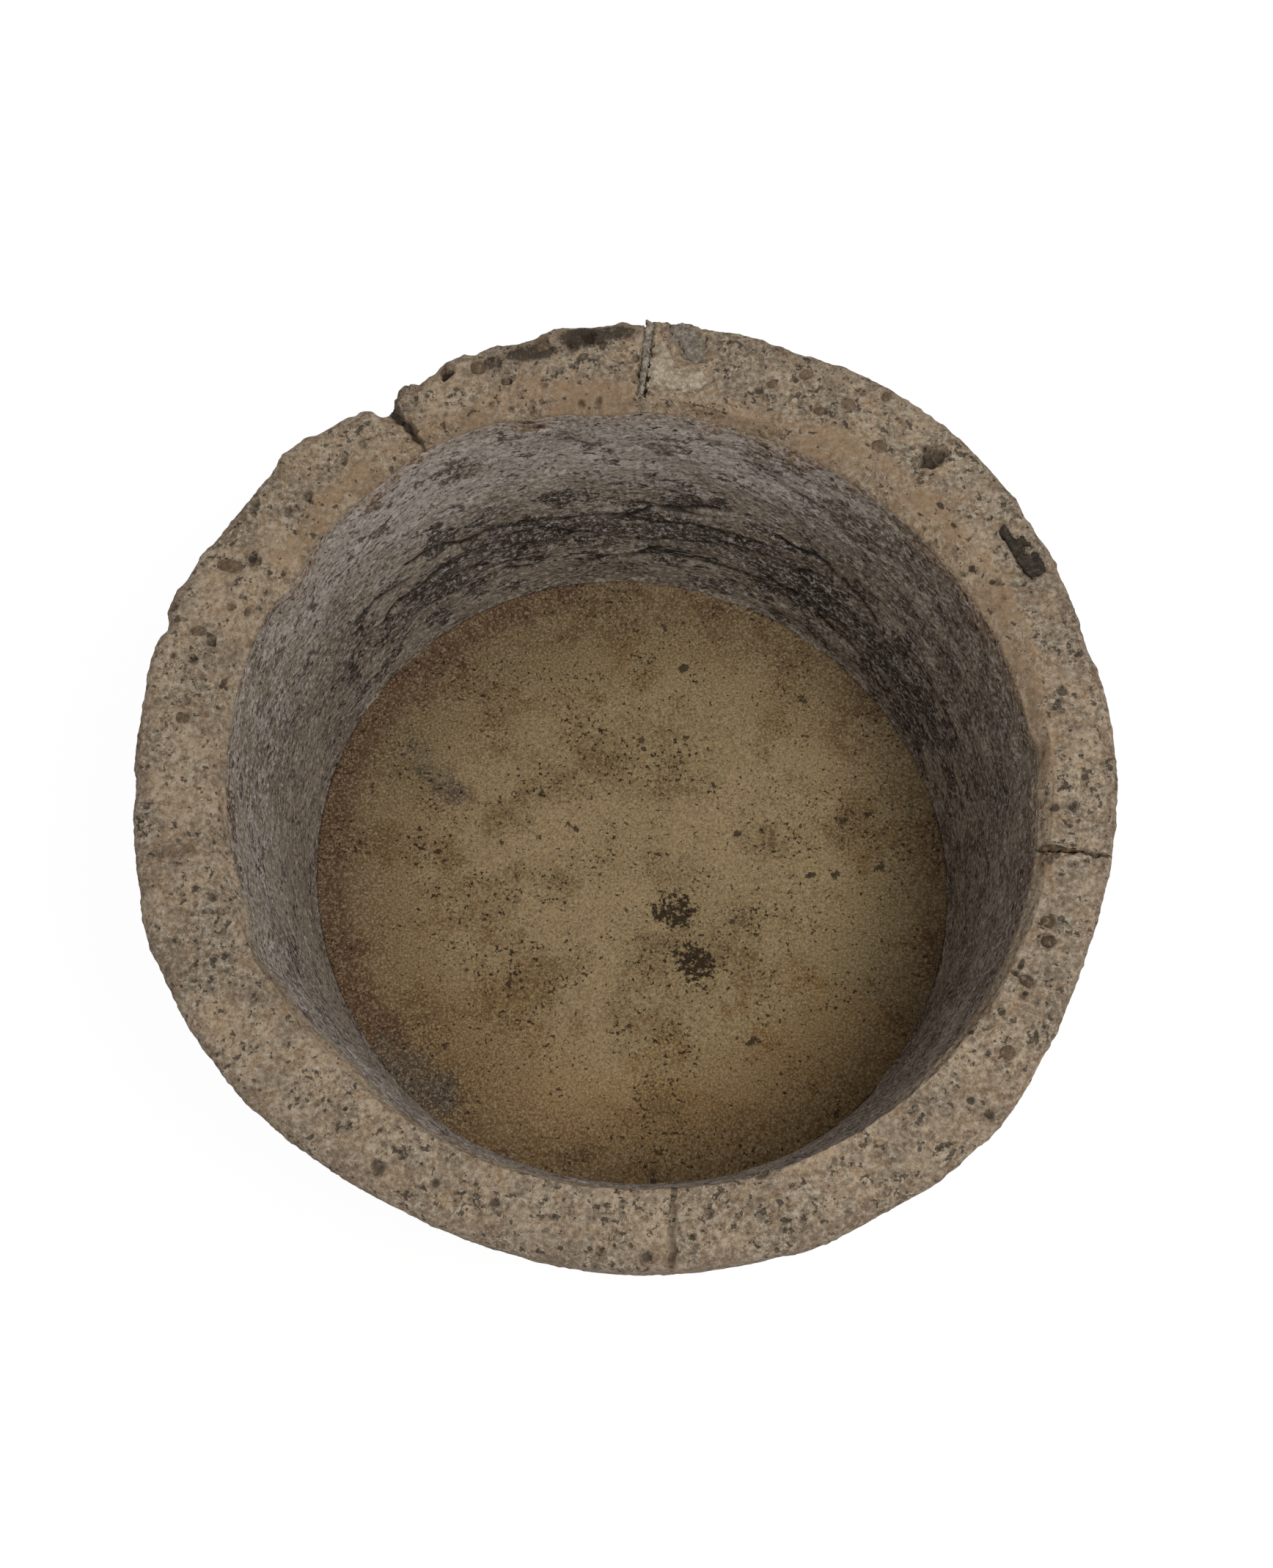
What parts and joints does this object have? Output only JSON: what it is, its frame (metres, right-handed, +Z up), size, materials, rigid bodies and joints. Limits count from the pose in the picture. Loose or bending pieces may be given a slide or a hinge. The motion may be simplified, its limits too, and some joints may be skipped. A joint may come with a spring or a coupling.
{
  "type": "round stone trough",
  "caption": "Round carved stone trough with a deep tapering basin, a thick uneven rim with cuts across it, and a mortar bed on the bottom.",
  "frame": {"origin": "middle of the trough's plan, on the level of its foot", "axes": "+Z up, +X to the right and +Y to the back, as seen from the front"},
  "size_m": [0.8969, 0.9083, 0.43],
  "materials": {
    "carved_stone": "weathered, pitted",
    "floor_bed_mortar": "sandy, worn",
    "grey_mortar": "trowelled",
    "pale_lime": "fine, dry",
    "brown_filling": "earthy",
    "dark_stone": "dense, smooth",
    "brown_pebble": "worn smooth"
  },
  "bodies": {
    "root": {"trough_block": "carved_stone", "floor_bed": "floor_bed_mortar", "back_joint_mortar": "grey_mortar", "back_mortar_patch": "grey_mortar", "back_lime_patch": "pale_lime", "right_crack_filling": "brown_filling", "dark_clast": "dark_stone", "rim_pebbles": "brown_pebble"}
  },
  "joints": []
}
